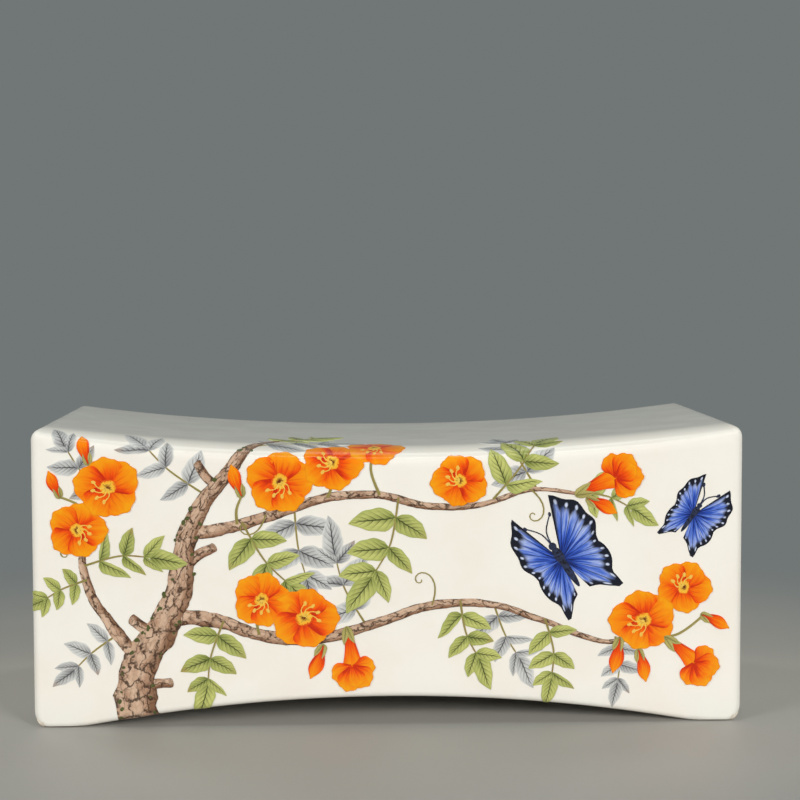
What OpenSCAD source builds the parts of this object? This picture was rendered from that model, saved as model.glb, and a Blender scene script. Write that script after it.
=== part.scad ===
// Slab-built porcelain pillow: a hollow box with a dished headrest and an arched base.
// Millimetres. Origin at the middle of the footprint, on the floor. The front faces -Y.

/* [Body] */
// Length from end to end
body_len = 300; // [240:1:380]
// Depth from front to back
body_depth = 145; // [110:1:200]
// Height of the two ends, before their edges are rounded
end_height = 127; // [100:0.5:160]

/* [Headrest] */
// How far the headrest dips at its middle
saddle_sag = 9.8; // [5:0.1:20]
// Thickness of the headrest slab
headrest_t = 8; // [6:0.5:12]
// Radius of the headrest's two end edges
end_edge_r = 4.8; // [2:0.2:5]
// Height of the roll along the headrest's front and back edges
long_edge_r = 6; // [1:0.1:6]
// How far back the roll of the front edge reaches; the back edge is rolled as far as it is high
front_roll = 16; // [6:0.5:30]

/* [Base] */
// How far the underside arches up at its middle
arch_rise = 12; // [6:0.5:20]
// Thickness of the base slab
base_t = 8; // [7.5:0.5:12]
// Length of the flat foot at each end, measured in from the end
foot_len = 19; // [16:0.5:40]
// Radius that eases each foot into the arch
foot_ease_r = 80; // [20:5:120]
// Radius of the edge under each end
foot_edge_r = 6.5; // [3:0.5:7]
// Radius of the base's front and back edges
base_edge_r = 2.4; // [1:0.1:4]

/* [Walls] */
// Thickness of the front and back slabs
wall_t = 6.5; // [5:0.5:10]
// Thickness of the end slabs
end_t = 6.5; // [5:0.5:10]
// Radius of the four upright edges
upright_edge_r = 3.4; // [1.5:0.1:4.5]

/* [Luting coils] */
// Leg of the clay coil smoothed into each inside corner
coil_leg = 7; // [4:0.5:12]

/* [Vent] */
// Diameter of the vent hole in the base
vent_d = 8; // [5:0.5:12]
// Distance of the vent from the middle, along the length
vent_x = 0; // [-60:1:60]

/* [Hidden] */
// Facets drawn in a full turn of a small round, and in one of a long shallow arc
$fn = 96;
arc_fn = 1024;
// Length by which cutting shapes run past what they cut
past = 20;
// Strokes of the knife along the headrest's front and back edges
headrest_strokes = 4;

half_len = body_len / 2;
half_depth = body_depth / 2;
// Inner faces of the end slabs and of the front and back slabs
inner_x = half_len - end_t;
inner_y = half_depth - wall_t;

// The headrest is part of a tube about an axis above the pillow, along Y
saddle_r = (half_len * half_len + saddle_sag * saddle_sag) / (2 * saddle_sag);
saddle_z = end_height - saddle_sag + saddle_r;
under_r = saddle_r + headrest_t;

// The arch is part of a tube about an axis below the floor, along Y
arch_half = half_len - foot_len;
arch_r = (arch_half * arch_half + arch_rise * arch_rise) / (2 * arch_rise);
arch_z = arch_rise - arch_r;
floor_r = arch_r + base_t;

// Middle of the circle that rounds the headrest's end edge, and of the one that eases a foot
end_edge_x = half_len - end_edge_r;
end_edge_z = saddle_z - sqrt(pow(saddle_r + end_edge_r, 2) - pow(end_edge_x, 2));
foot_ease_x = sqrt(pow(arch_r + foot_ease_r, 2) - pow(foot_ease_r - arch_z, 2));

clay = "#f1ede3";
coil_clay = "#e2dac9";

// Height of the headrest's underside at x
function under_z(x) = saddle_z - sqrt(under_r * under_r - x * x);

// A side view drawn in x and z, made solid over a length along Y
module across(length) {
    rotate([90, 0, 0]) linear_extrude(length, center = true) children();
}

// A section drawn in y and z, made solid over a length along X
module along(length) {
    rotate([90, 0, 90]) linear_extrude(length, center = true) children();
}

// A section drawn as radius and y, turned about an axis along Y at height z
module turned(z) {
    translate([0, 0, z]) rotate([-90, 0, 0]) rotate_extrude($fn = arc_fn) children();
}

// A side view and its mirror image at the other end
module both_ends() {
    children();
    mirror([1, 0]) children();
}

// Side views

module disc(r, z) {
    translate([0, z]) circle(r, $fn = arc_fn);
}

// What is cut off outside the circle that rounds the headrest's end edge
module end_edge_waste() {
    share = saddle_r / (saddle_r + end_edge_r);
    touch = [end_edge_x * share, saddle_z + (end_edge_z - saddle_z) * share];
    difference() {
        polygon([
            [end_edge_x, end_edge_z], [half_len + past, end_edge_z],
            [half_len + past, end_height + past], [touch.x, end_height + past], touch
        ]);
        translate([end_edge_x, end_edge_z]) circle(end_edge_r);
    }
}

// What is cut off outside the circle that rounds the edge under an end
module foot_edge_waste() {
    corner = half_len - foot_edge_r;
    difference() {
        translate([corner, -past]) square([foot_edge_r + past, foot_edge_r + past]);
        translate([corner, foot_edge_r]) circle(foot_edge_r);
    }
}

// What is cut off below the circle that eases a foot into the arch
module foot_ease_waste() {
    share = arch_r / (arch_r + foot_ease_r);
    touch = [foot_ease_x * share, arch_z + (foot_ease_r - arch_z) * share];
    difference() {
        polygon([[foot_ease_x, foot_ease_r], [foot_ease_x, -past], [touch.x, -past], touch]);
        translate([foot_ease_x, foot_ease_r]) circle(foot_ease_r);
    }
}

// Outer side view of the whole pillow
module side_view() {
    difference() {
        translate([-half_len, 0]) square([body_len, end_height + past]);
        disc(saddle_r, saddle_z);
        disc(arch_r, arch_z);
        both_ends() {
            end_edge_waste();
            foot_edge_waste();
            foot_ease_waste();
        }
    }
}

// All that lies less than a margin above the top face of the base slab
module below_floor(margin = 0) {
    translate([-half_len - past, -past]) square([body_len + 2 * past, base_t + margin + past]);
    disc(floor_r + margin, arch_z);
}

module headrest_side() {
    intersection() {
        side_view();
        disc(under_r, saddle_z);
    }
}

module base_side() {
    intersection() {
        side_view();
        below_floor();
    }
}

// What lies between the base and the headrest, a margin clear of both
module wall_side(margin = 0) {
    difference() {
        translate([-half_len - past, 0]) square([body_len + 2 * past, end_height + past]);
        disc(under_r + margin, saddle_z);
        below_floor(margin);
    }
}

// Plan views

// Section cut off a square edge in a few strokes of a knife, which leaves flats close to a quarter of an ellipse
module pared_edge(rise, run, strokes = 2) {
    cut = [
        for (k = [0 : strokes]) let (turn = 90 * k / strokes) [rise * (1 - sin(turn)), run * (1 - cos(turn))]
    ];
    polygon(concat([[-past, run], [-past, -past], [rise, -past]], cut));
}

// What is cut off at the four upright edges
module upright_edge_waste() {
    for (x = [0, 1], y = [0, 1])
        mirror([x, 0]) mirror([0, y]) translate([-half_len, -half_depth])
            pared_edge(upright_edge_r, upright_edge_r);
}

// Plan of the front wall, between its two mitres
module front_plan() {
    difference() {
        polygon([
            [-half_len, -half_depth], [half_len, -half_depth], [inner_x, -inner_y], [-inner_x, -inner_y]
        ]);
        upright_edge_waste();
    }
}

// Plan of the right end wall, between its two mitres
module end_plan() {
    difference() {
        polygon([
            [half_len, -half_depth], [half_len, half_depth], [inner_x, inner_y], [inner_x, -inner_y]
        ]);
        upright_edge_waste();
    }
}

// A plan made solid from below the floor to above a height
module upright(height) {
    translate([0, 0, -past]) linear_extrude(height + 2 * past) children();
}

// A wall between the base and the headrest, from its plan
module wall() {
    intersection() {
        across(body_depth + past) wall_side();
        upright(end_height) children();
    }
}

// Slabs

// What is cut off the headrest's front edge, for a roll that reaches back by run
module headrest_edge_waste(run) {
    turned(saddle_z) translate([saddle_r, -half_depth]) pared_edge(long_edge_r, run, headrest_strokes);
}

// Follows the arch, and runs straight along the two feet
module base_edge_waste() {
    turned(arch_z) translate([arch_r, -half_depth]) pared_edge(base_edge_r, base_edge_r);
    along(body_len + past) translate([-half_depth, 0]) pared_edge(base_edge_r, base_edge_r);
}

module headrest_slab() {
    color(clay) difference() {
        across(body_depth) headrest_side();
        upright(end_height) upright_edge_waste();
        headrest_edge_waste(front_roll);
        mirror([0, 1, 0]) headrest_edge_waste(long_edge_r);
    }
}

module base_slab() {
    color(clay) difference() {
        across(body_depth) base_side();
        upright(end_height) upright_edge_waste();
        base_edge_waste();
        mirror([0, 1, 0]) base_edge_waste();
        translate([vent_x, 0, 0]) cylinder(d = vent_d, h = arch_rise + base_t + past);
    }
}

module front_slab() {
    color(clay) wall() front_plan();
}

module back_slab() {
    color(clay) mirror([0, 1, 0]) wall() front_plan();
}

module right_end_slab() {
    color(clay) wall() end_plan();
}

module left_end_slab() {
    color(clay) mirror([1, 0, 0]) wall() end_plan();
}

// Luting coils. Each is smoothed flat, from one coil leg along one slab to one coil leg along the other.

// What lies between the two end slabs
module between_ends() {
    intersection() {
        translate([-inner_x, -half_depth, -past]) cube([2 * inner_x, body_depth, end_height + 2 * past]);
        children();
    }
}

module headrest_front_strip() {
    between_ends() turned(saddle_z)
        polygon([[under_r, -inner_y], [under_r + coil_leg, -inner_y], [under_r, coil_leg - inner_y]]);
}

module base_front_strip() {
    difference() {
        between_ends() {
            turned(arch_z)
                polygon([[floor_r, -inner_y], [floor_r + coil_leg, -inner_y], [floor_r, coil_leg - inner_y]]);
            along(body_len)
                polygon([[-inner_y, base_t], [coil_leg - inner_y, base_t], [-inner_y, base_t + coil_leg]]);
        }
        across(body_depth) below_floor();
    }
}

module headrest_right_strip() {
    corner_z = under_z(inner_x);
    low = [inner_x, corner_z - coil_leg];
    far = [inner_x - coil_leg, under_z(inner_x - coil_leg)];
    across(2 * inner_y) difference() {
        polygon([low, far + (far - low), [inner_x, corner_z + coil_leg]]);
        disc(under_r, saddle_z);
    }
}

module base_right_strip() {
    across(2 * inner_y) difference() {
        polygon([[inner_x, base_t], [inner_x, base_t + coil_leg], [inner_x - coil_leg, base_t]]);
        disc(floor_r, arch_z);
    }
}

// Cross coils run between the long coils
module headrest_right_run() {
    difference() {
        headrest_right_strip();
        headrest_front_strip();
        mirror([0, 1, 0]) headrest_front_strip();
    }
}

module base_right_run() {
    difference() {
        base_right_strip();
        base_front_strip();
        mirror([0, 1, 0]) base_front_strip();
    }
}

// Upright coils stand between the coils of the base and those of the headrest
module front_right_run() {
    intersection() {
        upright(end_height)
            polygon([[inner_x, -inner_y], [inner_x, coil_leg - inner_y], [inner_x - coil_leg, -inner_y]]);
        across(body_depth) wall_side(coil_leg);
    }
}

module headrest_front_coil() {
    color(coil_clay) headrest_front_strip();
}

module headrest_back_coil() {
    color(coil_clay) mirror([0, 1, 0]) headrest_front_strip();
}

module headrest_right_coil() {
    color(coil_clay) headrest_right_run();
}

module headrest_left_coil() {
    color(coil_clay) mirror([1, 0, 0]) headrest_right_run();
}

module base_front_coil() {
    color(coil_clay) base_front_strip();
}

module base_back_coil() {
    color(coil_clay) mirror([0, 1, 0]) base_front_strip();
}

module base_right_coil() {
    color(coil_clay) base_right_run();
}

module base_left_coil() {
    color(coil_clay) mirror([1, 0, 0]) base_right_run();
}

module front_right_coil() {
    color(coil_clay) front_right_run();
}

module front_left_coil() {
    color(coil_clay) mirror([1, 0, 0]) front_right_run();
}

module back_right_coil() {
    color(coil_clay) mirror([0, 1, 0]) front_right_run();
}

module back_left_coil() {
    color(coil_clay) mirror([1, 0, 0]) mirror([0, 1, 0]) front_right_run();
}

headrest_slab();
base_slab();
front_slab();
back_slab();
left_end_slab();
right_end_slab();
headrest_front_coil();
headrest_back_coil();
headrest_left_coil();
headrest_right_coil();
base_front_coil();
base_back_coil();
base_left_coil();
base_right_coil();
front_left_coil();
front_right_coil();
back_left_coil();
back_right_coil();
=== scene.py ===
"""A slab built porcelain pillow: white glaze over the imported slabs, a flowering vine in raised enamel."""
import math
import random

import bmesh
import bpy
from mathutils import Matrix, Vector, noise


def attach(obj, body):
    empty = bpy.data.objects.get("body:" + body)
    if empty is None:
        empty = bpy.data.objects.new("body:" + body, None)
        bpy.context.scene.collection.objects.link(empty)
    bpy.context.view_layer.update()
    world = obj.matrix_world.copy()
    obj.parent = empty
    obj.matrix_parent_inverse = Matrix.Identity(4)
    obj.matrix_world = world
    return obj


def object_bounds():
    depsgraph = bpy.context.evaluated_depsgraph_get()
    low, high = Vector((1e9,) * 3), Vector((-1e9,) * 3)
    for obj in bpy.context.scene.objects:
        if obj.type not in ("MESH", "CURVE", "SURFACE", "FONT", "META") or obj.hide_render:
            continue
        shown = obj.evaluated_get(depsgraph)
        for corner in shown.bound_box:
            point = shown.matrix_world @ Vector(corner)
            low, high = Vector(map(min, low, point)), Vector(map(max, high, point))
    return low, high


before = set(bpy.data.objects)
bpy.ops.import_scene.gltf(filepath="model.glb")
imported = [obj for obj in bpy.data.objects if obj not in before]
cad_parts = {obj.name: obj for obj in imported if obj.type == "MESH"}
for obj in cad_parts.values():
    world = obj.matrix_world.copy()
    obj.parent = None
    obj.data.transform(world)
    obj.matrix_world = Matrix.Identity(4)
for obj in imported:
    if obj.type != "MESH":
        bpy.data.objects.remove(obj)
cad_low, cad_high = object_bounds()

# Sizes of the pillow, in metres
MM = 0.001
HALF_LEN = cad_high.x
HALF_DEPTH = cad_high.y
END_HEIGHT = 127 * MM
SADDLE_SAG = 9.8 * MM
ARCH_RISE = 12 * MM
FOOT_LEN = 19 * MM
FOOT_EASE_R = 80 * MM
END_EDGE_R = 4.8 * MM
LONG_EDGE_R = 6 * MM
FRONT_ROLL = 16 * MM
UPRIGHT_EDGE_R = 3.4 * MM
FOOT_EDGE_R = 6.5 * MM
BASE_EDGE_R = 2.4 * MM
VENT_R = 4 * MM

# Thicknesses of the finish, and where it stops
GLAZE = 0.25 * MM
GLAZE_LINE = 0.5 * MM
BARE_RIM = 1 * MM
ENAMEL = 0.6 * MM
LOWEST_LAYER = 0.05 * MM
LAYER = 0.014 * MM
# Heights up to which the glaze pools and the bare foot is toasted
POOL_TOP = 0.4 * ARCH_RISE + 14 * MM
TOAST_TOP = 2 * MM

SADDLE_R = (HALF_LEN**2 + SADDLE_SAG**2) / (2 * SADDLE_SAG)
SADDLE_Z = END_HEIGHT - SADDLE_SAG + SADDLE_R
ARCH_HALF = HALF_LEN - FOOT_LEN
ARCH_R = (ARCH_HALF**2 + ARCH_RISE**2) / (2 * ARCH_RISE)
ARCH_Z = ARCH_RISE - ARCH_R
EASE_END = math.sqrt((ARCH_R + FOOT_EASE_R) ** 2 - (FOOT_EASE_R - ARCH_Z) ** 2)
EASE_START = EASE_END * ARCH_R / (ARCH_R + FOOT_EASE_R)
# Where the headrest's long edges start to tighten towards the corners
CORNER_START = 110 * MM
QUARTER = math.pi / 2
# Steps in which a stroke follows a rolled edge
ROLL_STEP = math.radians(3)
# Slack in telling whether a point lies on a face
HAIR = 0.01 * MM
# Angles up to which the finished pieces are shaded smooth
GLAZE_CREASE = math.radians(35)
ENAMEL_CREASE = math.radians(40)

rng = random.Random(11)


def clamp(value, low, high):
    """A value kept between two limits."""
    return max(low, min(high, value))


def saddle_height(x):
    """Height of the slabs' dished top."""
    return SADDLE_Z - math.sqrt(SADDLE_R**2 - x * x)


def arch_height(x):
    """Height of the slabs' arched underside."""
    reach = abs(x)
    if reach < EASE_START:
        return ARCH_Z + math.sqrt(ARCH_R**2 - x * x)
    if reach < EASE_END:
        return FOOT_EASE_R - math.sqrt(FOOT_EASE_R**2 - (EASE_END - reach) ** 2)
    return 0.0


def headrest_edge(x):
    """Height of the glaze's roll over the headrest's long edges."""
    share = clamp((abs(x) - CORNER_START) / (HALF_LEN - CORNER_START), 0.0, 1.0)
    return GLAZE + LONG_EDGE_R + (UPRIGHT_EDGE_R - LONG_EDGE_R) * share


def round_over(reach, start, rise, run):
    """Paint that runs to start and then over a rolled edge: how far out, how far back, turned by what."""
    spare = reach - start
    if spare <= 0:
        return reach, 0.0, 0.0
    turn = 0.0
    while spare > 0 and turn < QUARTER:
        pace = math.hypot(rise * math.cos(turn), run * math.sin(turn))
        step = min(ROLL_STEP, spare / pace, QUARTER - turn)
        turn += step
        spare -= step * pace
        if step < ROLL_STEP:
            break
    out = start + rise * math.sin(turn)
    back = run * (1 - math.cos(turn)) + max(spare, 0.0)
    return out, back, math.atan2(run * math.sin(turn), rise * math.cos(turn))


def on_glaze(across, climb, lift):
    """A point on the front's glaze, or past it round an edge, from its place on the flat picture."""
    radius = UPRIGHT_EDGE_R + GLAZE
    out, side_back, side_turn = round_over(abs(across), HALF_LEN + GLAZE - radius, radius, radius)
    x = math.copysign(out, across)
    inside = clamp(x, -HALF_LEN, HALF_LEN)
    top = saddle_height(inside) + GLAZE
    bottom = arch_height(inside) - GLAZE
    if climb > (top + bottom) / 2:
        rise = headrest_edge(inside)
        z, back, turn = round_over(climb, top - rise, rise, FRONT_ROLL + GLAZE)
    else:
        radius = BASE_EDGE_R + GLAZE
        drop, back, turn = round_over(-climb, -bottom - radius, radius, radius)
        z, turn = -drop, -turn
    outwards = Vector((
        math.copysign(math.sin(side_turn), across), -math.cos(side_turn) * math.cos(turn), math.sin(turn)
    ))
    return Vector((x, side_back + back - HALF_DEPTH - GLAZE, z)) + lift * outwards


# Node helpers
def add_node(tree, kind, inputs=None, **settings):
    """A node with its settings made and its inputs set or linked."""
    node = tree.nodes.new(kind)
    for name, value in settings.items():
        setattr(node, name, value)
    for name, value in (inputs or {}).items():
        if isinstance(value, bpy.types.NodeSocket):
            tree.links.new(value, node.inputs[name])
        else:
            node.inputs[name].default_value = value
    return node


def calc(tree, operation, first, second=0.0):
    """The result of one Math node."""
    return add_node(tree, "ShaderNodeMath", {0: first, 1: second}, operation=operation).outputs[0]


def times(tree, first, second):
    """A product."""
    return calc(tree, "MULTIPLY", first, second)


def total(tree, *values):
    """A sum."""
    result = values[0]
    for value in values[1:]:
        result = calc(tree, "ADD", result, value)
    return result


def greatest(tree, *values):
    """The largest of some values."""
    result = values[0]
    for value in values[1:]:
        result = calc(tree, "MAXIMUM", result, value)
    return result


def ease(tree, value, low, high, start=0.0, end=1.0):
    """A soft step from start to end as value goes from low to high."""
    inputs = {"Value": value, "From Min": low, "From Max": high, "To Min": start, "To Max": end}
    return add_node(tree, "ShaderNodeMapRange", inputs, interpolation_type="SMOOTHSTEP").outputs[0]


def blend(tree, share, first, second):
    """Two colours mixed by a share."""
    inputs = {0: share, 6: first, 7: second}
    return add_node(tree, "ShaderNodeMix", inputs, data_type="RGBA").outputs[2]


def ramp(tree, share, *stops):
    """Colours at positions, smoothly mixed."""
    node = add_node(tree, "ShaderNodeValToRGB", {"Fac": share})
    elements = node.color_ramp.elements
    for element, (position, colour) in zip(elements, (stops[0], stops[-1])):
        element.position = position
        element.color = colour
    for position, colour in stops[1:-1]:
        elements.new(position).color = colour
    return node.outputs[0]


def noise_at(tree, coordinate, scale, detail=3.0, roughness=0.5):
    """The value of a Noise texture."""
    inputs = {"Vector": coordinate, "Scale": scale, "Detail": detail, "Roughness": roughness}
    return add_node(tree, "ShaderNodeTexNoise", inputs).outputs[0]


def join_place(tree, x, y, z=0.0):
    """A vector from its parts."""
    return add_node(tree, "ShaderNodeCombineXYZ", {0: x, 1: y, 2: z}).outputs[0]


def object_place(tree):
    """Object coordinates."""
    return add_node(tree, "ShaderNodeTexCoord").outputs["Object"]


def stroke_place(tree):
    """Across and along a brush stroke."""
    uv = add_node(tree, "ShaderNodeUVMap", uv_map="UVMap").outputs[0]
    parts = add_node(tree, "ShaderNodeSeparateXYZ", {0: uv})
    return parts.outputs[0], parts.outputs[1]


def stroke_value(tree, name):
    """A value kept on the strokes: tone, each one's shade from 0 to 1, or side, from -1 to 1 across it."""
    return add_node(tree, "ShaderNodeAttribute", attribute_name=name).outputs["Fac"]


def new_group(name, inputs, outputs):
    """An empty shader group with its sockets."""
    group = bpy.data.node_groups.new(name, "ShaderNodeTree")
    for direction, sockets in (("INPUT", inputs), ("OUTPUT", outputs)):
        for socket, kind in sockets.items():
            group.interface.new_socket(socket, in_out=direction, socket_type=kind)
    return group, group.nodes.new("NodeGroupInput"), group.nodes.new("NodeGroupOutput")


def new_material(name):
    """A material with its Principled shader."""
    material = bpy.data.materials.new(name)
    material.use_nodes = True
    return material, material.node_tree, material.node_tree.nodes["Principled BSDF"]


# Shared finishes
finishes = {}


def rgb(red, green, blue):
    """A linear colour."""
    return (red, green, blue, 1.0)


def place_group(tree, name, **inputs):
    """One of the shared finishes, with its values for this place."""
    return add_node(tree, "ShaderNodeGroup", inputs, node_tree=finishes[name])


def brush_streak_group():
    """Streaks that a loaded brush leaves along its stroke."""
    group, entry, result = new_group(
        "brush_streak",
        {"Across": "NodeSocketFloat", "Along": "NodeSocketFloat"},
        {"Streak": "NodeSocketFloat"},
    )
    u, v = stroke_place(group)
    across = times(group, u, entry.outputs["Across"])
    along = times(group, v, entry.outputs["Along"])
    own = times(group, stroke_value(group, "tone"), 37.0)
    streak = noise_at(group, join_place(group, across, along, own), 1.0, 4.0, 0.6)
    group.links.new(ease(group, streak, 0.3, 0.7), result.inputs["Streak"])
    return group


def enamel_skin_group():
    """The uneven gloss and small relief of fired enamel."""
    group, entry, result = new_group(
        "enamel_skin",
        {"Relief": "NodeSocketFloat"},
        {"Roughness": "NodeSocketFloat", "Normal": "NodeSocketVector"},
    )
    pool = noise_at(group, object_place(group), 260.0)
    group.links.new(ease(group, pool, 0.3, 0.7, 0.12, 0.26), result.inputs["Roughness"])
    grain = total(group, times(group, pool, 0.6), entry.outputs["Relief"])
    bump = add_node(group, "ShaderNodeBump", {"Strength": 0.22, "Distance": 0.1 * MM, "Height": grain})
    group.links.new(bump.outputs[0], result.inputs["Normal"])
    return group


def leaf_wash_group():
    """A leaf painted wet: pale blade, ink feathered out from the rib and the veins, rust on some tips."""
    group, entry, result = new_group(
        "leaf_wash",
        {name: "NodeSocketColor" for name in ("Pale", "Deep", "Line", "Rim")},
        {"Color": "NodeSocketColor", "Veins": "NodeSocketFloat"},
    )
    u, v = stroke_place(group)
    tone = stroke_value(group, "tone")
    side = total(group, times(group, u, 2.0), -1.0)
    across = calc(group, "ABSOLUTE", side)
    inwards = calc(group, "SUBTRACT", 1.0, across)
    streak = place_group(group, "brush_streak", Across=5.0, Along=3.0).outputs[0]

    right_half = ease(group, side, -0.02, 0.02)
    ladder = total(group, times(group, v, 6.5), times(group, across, -2.1), times(group, right_half, 0.45))
    behind_vein = calc(group, "SUBTRACT", 1.0, calc(group, "FRACT", ladder))
    feather = times(group, calc(group, "POWER", behind_vein, 2.4), calc(group, "POWER", inwards, 0.9))
    vein = times(group, ease(group, calc(group, "PINGPONG", ladder, 0.5), 0.11, 0.02), inwards)
    rib = times(group, ease(group, across, 0.1, 0.02), ease(group, v, 1.05, 0.7))

    depth = total(
        group,
        times(group, feather, 0.7),
        times(group, streak, 0.3),
        times(group, tone, 0.55),
        -0.05,
        times(group, right_half, 0.12),
        ease(group, v, 0.4, 0.0, -0.3, 0.1),
    )
    wash = blend(group, calc(group, "MINIMUM", depth, 1.0), entry.outputs["Pale"], entry.outputs["Deep"])
    rusty = times(group, ease(group, tone, 0.6, 0.7), times(group, ease(group, v, 0.66, 0.98), streak))
    wash = blend(group, times(group, rusty, 0.75), wash, rgb(0.40, 0.20, 0.07))
    wash = blend(group, ease(group, across, 0.7, 1.0, 0.0, 0.7), wash, entry.outputs["Rim"])
    feathered = total(group, times(group, behind_vein, 0.7), 0.3)
    inked = times(group, ease(group, v, 1.0, 0.25), ease(group, tone, 0.1, 0.9, 0.25, 0.95))
    heart = times(group, times(group, calc(group, "POWER", inwards, 3.0), feathered), inked)
    line = greatest(group, times(group, rib, 0.95), times(group, vein, 0.85), heart)
    group.links.new(blend(group, line, wash, entry.outputs["Line"]), result.inputs["Color"])
    group.links.new(calc(group, "SUBTRACT", 1.0, line), result.inputs["Veins"])
    return group


finishes["brush_streak"] = brush_streak_group()
finishes["enamel_skin"] = enamel_skin_group()
finishes["leaf_wash"] = leaf_wash_group()


def enamel_material(name, paint):
    """Glossy enamel: paint gives the colour and the relief of its lines."""
    material, tree, shader = new_material(name)
    colour, relief = paint(tree)
    skin = place_group(tree, "enamel_skin", Relief=relief)
    tree.links.new(colour, shader.inputs["Base Color"])
    tree.links.new(skin.outputs["Roughness"], shader.inputs["Roughness"])
    tree.links.new(skin.outputs["Normal"], shader.inputs["Normal"])
    return material


def leaf_paint(pale, deep, line, rim):
    """Paint for a leaf in the given shades."""
    def paint(tree):
        wash = place_group(tree, "leaf_wash", Pale=pale, Deep=deep, Line=line, Rim=rim)
        return wash.outputs["Color"], wash.outputs["Veins"]
    return paint


def petal_paint(tree):
    """Blossom lobes: red at the throat, orange to the lip, with red lines and deeper sides."""
    u, v = stroke_place(tree)
    across = calc(tree, "ABSOLUTE", total(tree, times(tree, u, 2.0), -1.0))
    streak = place_group(tree, "brush_streak", Across=6.0, Along=1.6).outputs[0]
    warmth = total(
        tree,
        v,
        times(tree, calc(tree, "POWER", across, 3.0), -0.4),
        times(tree, streak, 0.3),
        -0.15,
        times(tree, stroke_value(tree, "tone"), 0.3),
        -0.15,
    )
    wash = ramp(
        tree, warmth,
        (0.0, rgb(0.56, 0.022, 0.002)), (0.26, rgb(0.84, 0.075, 0.001)),
        (0.55, rgb(0.88, 0.20, 0.001)), (1.0, rgb(0.88, 0.34, 0.004)),
    )
    fan = calc(tree, "PINGPONG", times(tree, u, 6.0), 0.5)
    lines = times(tree, ease(tree, fan, 0.15, 0.04), ease(tree, v, 0.85, 0.2))
    lip = ease(tree, v, 0.93, 1.0, 0.0, 0.45)
    mark = times(tree, greatest(tree, lines, lip), 0.55)
    return blend(tree, mark, wash, rgb(0.55, 0.032, 0.003)), calc(tree, "SUBTRACT", 1.0, mark)


def throat_paint(tree):
    """The blossom's mouth: yellow round a dark centre."""
    u, v = stroke_place(tree)
    sides = [calc(tree, "ABSOLUTE", total(tree, times(tree, part, 2.0), -1.0)) for part in (u, v)]
    streak = place_group(tree, "brush_streak", Across=7.0, Along=7.0).outputs[0]
    ring = total(tree, greatest(tree, *sides), times(tree, streak, 0.25))
    wash = ramp(
        tree, ring,
        (0.25, rgb(0.13, 0.018, 0.004)), (0.62, rgb(0.88, 0.50, 0.05)),
        (0.85, rgb(0.86, 0.40, 0.02)), (1.0, rgb(0.70, 0.08, 0.005)),
    )
    return wash, ring


def bark_paint(tree):
    """Vine wood: pale tan, shaded below, with broken dark cracks along the grain and inked sides."""
    u, v = stroke_place(tree)
    side = stroke_value(tree, "side")
    place = object_place(tree)
    patches = noise_at(tree, place, 190.0, 3.0, 0.55)
    broken = noise_at(tree, place, 420.0, 2.0, 0.6)
    cracks = []
    for plates_across, plates_along, width in ((6.5, 2.6, 0.17), (15.0, 6.0, 0.13)):
        across = total(tree, times(tree, u, plates_across), times(tree, patches, 2.2))
        along = total(tree, times(tree, v, plates_along), times(tree, broken, 0.9))
        inputs = {"Vector": join_place(tree, across, along), "Scale": 1.0, "Randomness": 0.9}
        cells = add_node(
            tree, "ShaderNodeTexVoronoi", inputs, feature="DISTANCE_TO_EDGE", voronoi_dimensions="2D"
        )
        cracks.append(ease(tree, cells.outputs["Distance"], width, 0.02))
    coarse = times(tree, cracks[0], ease(tree, broken, 0.36, 0.52, 0.25, 1.0))
    fine = times(tree, cracks[1], ease(tree, patches, 0.4, 0.6, 0.1, 0.55))
    streak = place_group(tree, "brush_streak", Across=9.0, Along=3.0).outputs[0]
    depth = total(
        tree,
        ease(tree, side, 0.0, 1.0, 0.0, 0.75),
        times(tree, streak, 0.35),
        ease(tree, patches, 0.45, 0.7, 0.0, 0.3),
    )
    wood = ramp(
        tree, depth,
        (0.0, rgb(0.66, 0.47, 0.34)), (0.45, rgb(0.47, 0.29, 0.19)), (1.0, rgb(0.22, 0.11, 0.06)),
    )
    inked = times(tree, ease(tree, calc(tree, "ABSOLUTE", side), 0.8, 0.97), ease(tree, broken, 0.4, 0.55))
    line = greatest(tree, times(tree, coarse, 0.9), fine, times(tree, inked, 0.9))
    return blend(tree, line, wood, rgb(0.038, 0.018, 0.010)), calc(tree, "SUBTRACT", 1.0, line)


def wing_paint(tree):
    """Butterfly wing: cobalt paling outwards, black veins and a black border with pale spots."""
    u, v = stroke_place(tree)
    streak = place_group(tree, "brush_streak", Across=16.0, Along=1.6).outputs[0]
    depth = total(tree, v, times(tree, streak, 0.6), -0.3)
    wash = ramp(
        tree, depth,
        (0.0, rgb(0.008, 0.016, 0.10)), (0.22, rgb(0.020, 0.065, 0.42)),
        (0.5, rgb(0.085, 0.17, 0.60)), (1.0, rgb(0.44, 0.52, 0.80)),
    )
    spread = calc(tree, "PINGPONG", times(tree, u, 7.0), 0.5)
    vein = times(tree, ease(tree, spread, 0.10, 0.02), ease(tree, v, 0.0, 0.9, 0.95, 0.75))
    feathered = total(tree, v, times(tree, spread, -0.2), times(tree, streak, 0.1), -0.05)
    border = ease(tree, feathered, 0.66, 0.82)
    leading = ease(tree, u, 0.10, 0.02)
    black = greatest(tree, vein, border, leading)
    wing = blend(tree, black, wash, rgb(0.010, 0.011, 0.020))
    sideways = calc(tree, "POWER", calc(tree, "SUBTRACT", 0.5, spread), 2.0)
    outwards = calc(tree, "POWER", times(tree, total(tree, v, -0.9), 3.6), 2.0)
    spot = ease(tree, calc(tree, "SQRT", total(tree, sideways, outwards)), 0.2, 0.08)
    spot = times(tree, spot, ease(tree, streak, 0.0, 0.6, 0.5, 0.95))
    return blend(tree, spot, wing, rgb(0.60, 0.66, 0.84)), black


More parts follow.
